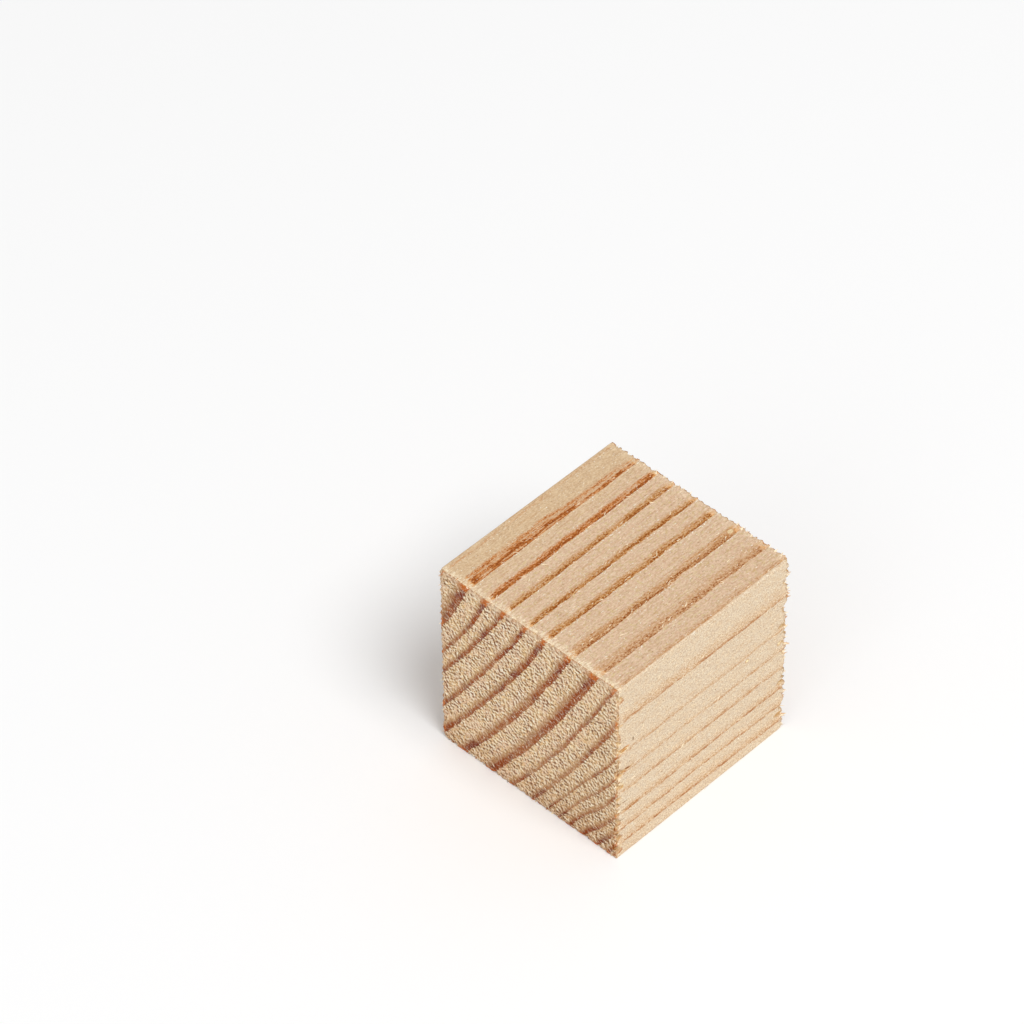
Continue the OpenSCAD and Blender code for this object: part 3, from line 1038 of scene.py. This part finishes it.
def rawPine():
    settings = pineSettings
    material, shader = newMaterial("rawPine", settings["roughness"], settings["specular"])
    tree = material.node_tree
    make = Maker(tree)
    tints = SimpleNamespace(**{name: linearColour(*value) for name, value in pineColours.items()})
    place = make.place()
    wood = woodAt(make, place)
    longColour, longLight, longHeight = longGrain(make, place, wood, tints)
    endColour, endLight, endHeight = endGrain(make, place, wood, tints)

    # the two kinds of face, with a brown line round each lobe, where the one goes over into the other
    result = make.colour(wood.endGrain, longColour, endColour)
    # the line is the torn edge's brown and a painted shadow along the break
    border = make.times(wood.endGrain, make.minus(1.0, wood.endGrain), settings["borderShown"])
    border = make.times(border, make.ramp(wood.unevenEdge, 0.36, 0.56))
    result = make.colour(border, result, tints.breakLine)
    result = markColours(make, place, wood, tints, result)
    result = tornFloors(make, place, wood, tints, result)

    light = make.oneOf(wood.endGrain, longLight, endLight)
    channels = [make.plus(1.0, make.times(light, share)) for share in settings["warmth"]]
    tone = addNode(tree, "ShaderNodeCombineColor", dict(enumerate(channels))).outputs[0]
    tree.links.new(make.colour(1.0, result, tone, "MULTIPLY"), shader.inputs["Base Color"])

    height = make.oneOf(wood.endGrain, longHeight, endHeight)
    bumps = {"Strength": 1.0, "Distance": settings["bumpHeight"] * mm, "Height": height}
    tree.links.new(addNode(tree, "ShaderNodeBump", bumps).outputs["Normal"], shader.inputs["Normal"])
    return material


def fibreWood():
    settings = pineSettings
    material, shader = newMaterial("fibreWood", settings["fibreRoughness"], settings["fibreSpecular"])
    tree = material.node_tree
    make = Maker(tree)
    pale, brown = linearColour(*fibreSettings["pale"]), linearColour(*fibreSettings["brown"])
    mottled = make.swing(make.grain(make.place(), "fibreTone"), 0.15, 0.3, 0.7)
    share = make.ramp(make.plus(make.attribute("tone"), mottled), 0.0, 1.0, smooth=False)
    tree.links.new(make.colour(share, pale, brown), shader.inputs["Base Color"])
    return material


# lengths are in metres from here on, as in the frame
stageSettings = {
    "floorSize": 3.0,
    "floorColour": (248, 248, 248),
    "floorRoughness": 0.9,
    "surround": 0.5,         # light that comes from all round
    "keyWatts": 50.0,
    "keyPlace": (-0.3, -1.44, 2.40),
    "keySize": 1.5,
    "fillWatts": 7.0,
    "fillPlace": (-2.1, -0.6, 1.5),
    "fillSize": 1.7,
}


def layFloor():
    settings = stageSettings
    bm = bmesh.new()
    bmesh.ops.create_grid(bm, x_segments=1, y_segments=1, size=settings["floorSize"] / 2)
    floor = makeMesh(bm, "floor")
    material, shader = newMaterial("palePaper", settings["floorRoughness"], 0.0)
    shader.inputs["Base Color"].default_value = linearColour(*settings["floorColour"])
    floor.data.materials.append(material)


def addLamp(name, watts, place, size):
    # a round soft lamp, turned towards the block
    lamp = bpy.data.lights.new(name, "AREA")
    lamp.energy = watts
    lamp.shape = "DISK"
    lamp.size = size
    holder = bpy.data.objects.new(name, lamp)
    holder.location = place
    holder.rotation_euler = (-Vector(place)).to_track_quat("-Z", "Y").to_euler()
    bpy.context.scene.collection.objects.link(holder)


def lightStudio():
    settings = stageSettings
    white = (1.0, 1.0, 1.0, 1.0)
    world = bpy.data.worlds.new("studio")
    world.use_nodes = True
    tree = world.node_tree
    make = Maker(tree)
    surround = tree.nodes["Background"]
    surround.inputs["Color"].default_value = white
    surround.inputs["Strength"].default_value = settings["surround"]

    # the camera, also through gloss or glass, sees plain white
    seen = addNode(tree, "ShaderNodeBackground", {"Color": white, "Strength": 1.0})
    rays = addNode(tree, "ShaderNodeLightPath").outputs
    direct = make.math("MAXIMUM", rays["Is Camera Ray"], rays["Is Glossy Ray"])
    direct = make.math("MAXIMUM", direct, rays["Is Transmission Ray"])
    either = addNode(tree, "ShaderNodeMixShader", {0: direct, 1: surround.outputs[0], 2: seen.outputs[0]})
    tree.links.new(either.outputs[0], tree.nodes["World Output"].inputs["Surface"])
    bpy.context.scene.world = world
    addLamp("keyLamp", settings["keyWatts"], settings["keyPlace"], settings["keySize"])
    addLamp("fillLamp", settings["fillWatts"], settings["fillPlace"], settings["fillSize"])


cameraSettings = {
    "azimuth": -45.68,       # degrees round the block, from straight in front
    "elevation": 44.95,
    "roll": -0.60,
    "distance": 0.871,       # from the camera to the block's middle, m
    "pictureWidth": 1024.0,  # pixels
    "focalPixels": 5300.0,   # focal length, in pixels of that picture
    "middleAt": (614.2, 648.7),   # where the block's middle falls in it, from its top left corner
    "sensorWidth": 36.0,     # in mm, as the lens is
    "clipStart": 0.01,
}


def placeCamera():
    settings = cameraSettings
    turn, lift = math.radians(settings["azimuth"]), math.radians(settings["elevation"])
    back = Vector((math.sin(turn) * math.cos(lift), -math.cos(turn) * math.cos(lift), math.sin(lift)))
    right = Vector((math.cos(turn), math.sin(turn), 0.0))
    axes = Matrix((right, back.cross(right), back)).transposed()
    axes = axes @ Matrix.Rotation(math.radians(settings["roll"]), 3, "Z")

    # the block's middle as the camera sees it
    half = settings["pictureWidth"] / 2
    toRight, down = ((pixel - half) / settings["focalPixels"] for pixel in settings["middleAt"])
    offset = Vector((toRight, -down, -1.0)) * settings["distance"]
    place = blockCentre * mm - axes @ offset

    camera = bpy.data.cameras.new("camera")
    camera.sensor_width = settings["sensorWidth"]
    camera.lens = settings["sensorWidth"] * settings["focalPixels"] / settings["pictureWidth"]
    camera.clip_start = settings["clipStart"]
    holder = bpy.data.objects.new("camera", camera)
    holder.matrix_world = Matrix.Translation(place) @ axes.to_4x4()
    bpy.context.scene.collection.objects.link(holder)
    bpy.context.scene.camera = holder


placeCamera()
lightStudio()
layFloor()
print("studio ready")

block = buildBlock()
block.data.materials.append(rawPine())
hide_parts("cube")
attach(block, "root")

fibres = buildFibres(block)
fibres.data.materials.append(fibreWood())
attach(fibres, "root")

bpy.context.scene.view_settings.view_transform = "Standard"
